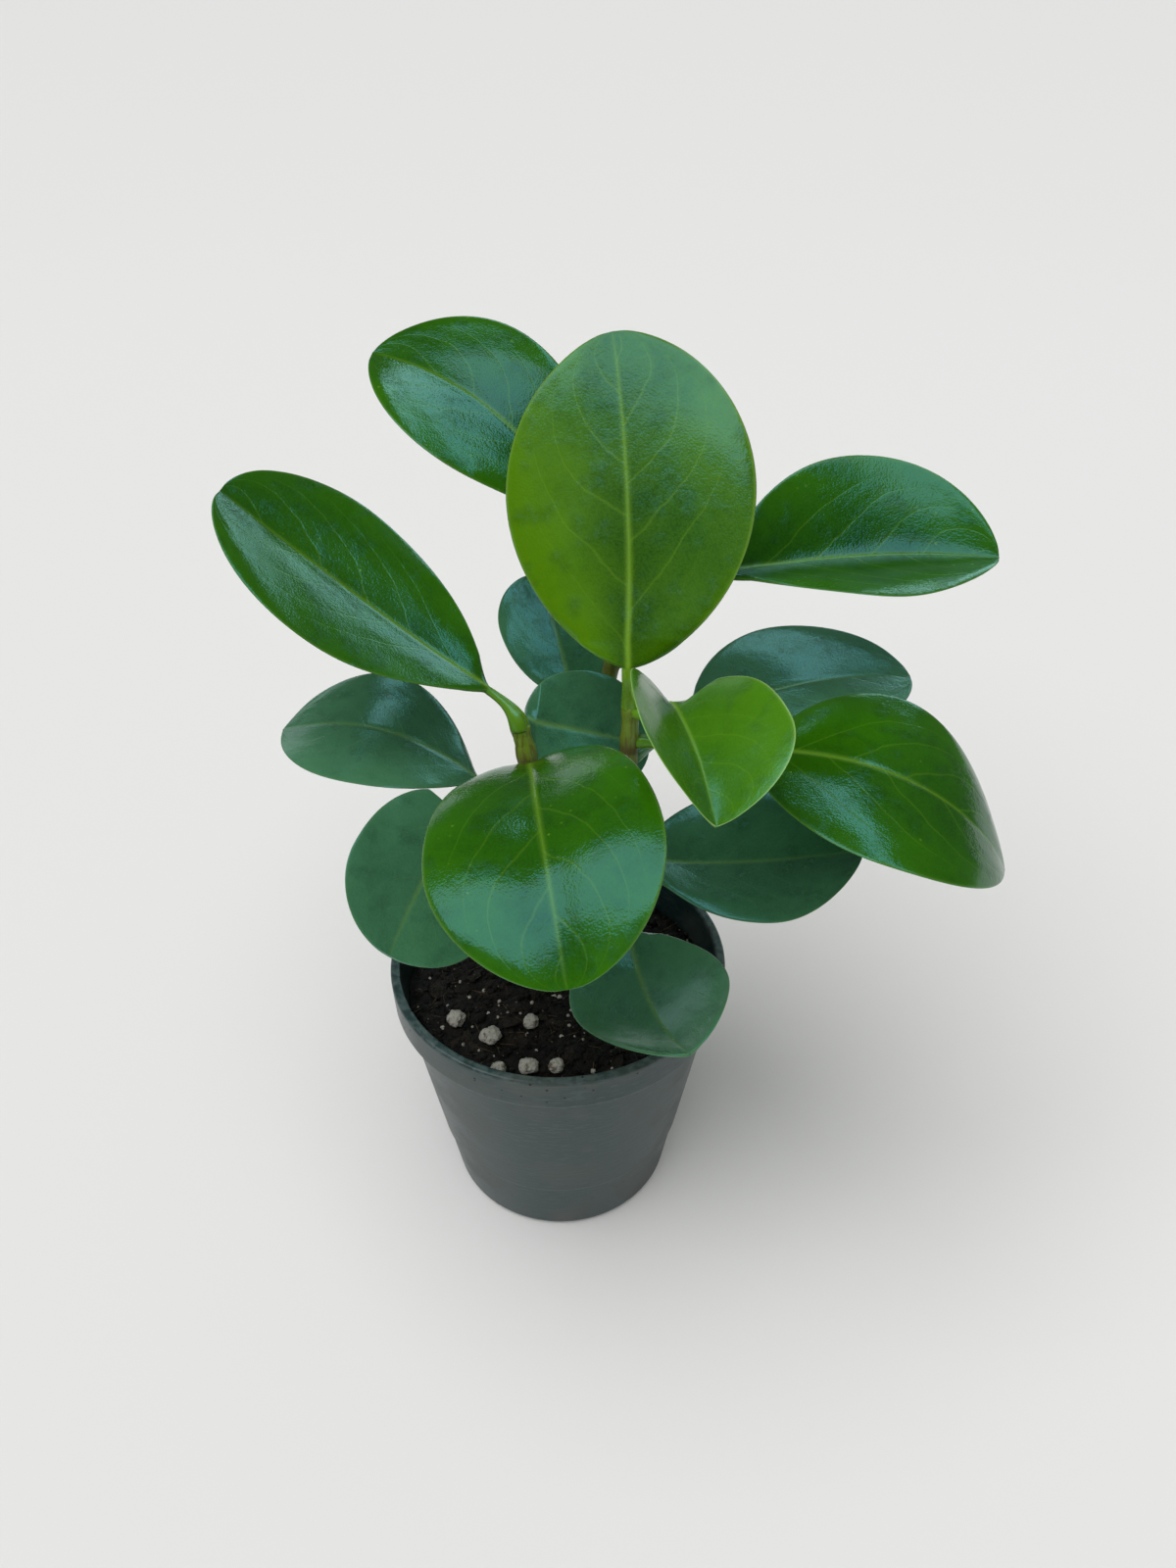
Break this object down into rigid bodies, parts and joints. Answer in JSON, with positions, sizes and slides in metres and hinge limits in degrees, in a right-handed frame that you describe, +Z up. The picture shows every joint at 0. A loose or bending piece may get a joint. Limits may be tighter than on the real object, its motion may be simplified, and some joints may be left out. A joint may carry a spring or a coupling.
{
  "type": "potted peperomia plant",
  "caption": "Upright potted house plant with thick, glossy, spoon-shaped green leaves on fleshy stems, in dark potting mix in a round tapered nursery pot.",
  "frame": {"origin": "middle of the pot's underside, which rests on the surface", "axes": "+Z up along the pot's axis; -Y is the front of the plant, from which it is seen; +X is to its right"},
  "size_m": [0.2099, 0.1786, 0.2666],
  "materials": {
    "pot_plastic": "satin",
    "potting_mix": "matte",
    "stem_skin": "satin",
    "leaf_skin": "gloss",
    "perlite": "matte"
  },
  "bodies": {
    "root": {"pot": "pot_plastic", "soil": "potting_mix", "stem_left": "stem_skin", "stem_middle": "stem_skin", "stem_back": "stem_skin", "leaf_crown": "leaf_skin", "leaf_right_upper": "leaf_skin", "leaf_left_upper": "leaf_skin", "leaf_young": "leaf_skin", "leaf_right_lower": "leaf_skin", "leaf_right_back": "leaf_skin", "leaf_right_low": "leaf_skin", "leaf_front_low": "leaf_skin", "leaf_front": "leaf_skin", "leaf_left": "leaf_skin", "leaf_left_middle": "leaf_skin", "leaf_left_low": "leaf_skin", "leaf_back_upper": "leaf_skin", "leaf_back_middle": "leaf_skin", "perlite_1": "perlite", "perlite_2": "perlite", "perlite_3": "perlite", "perlite_4": "perlite", "perlite_5": "perlite", "perlite_6": "perlite", "perlite_7": "perlite", "perlite_8": "perlite", "perlite_9": "perlite"}
  },
  "joints": []
}
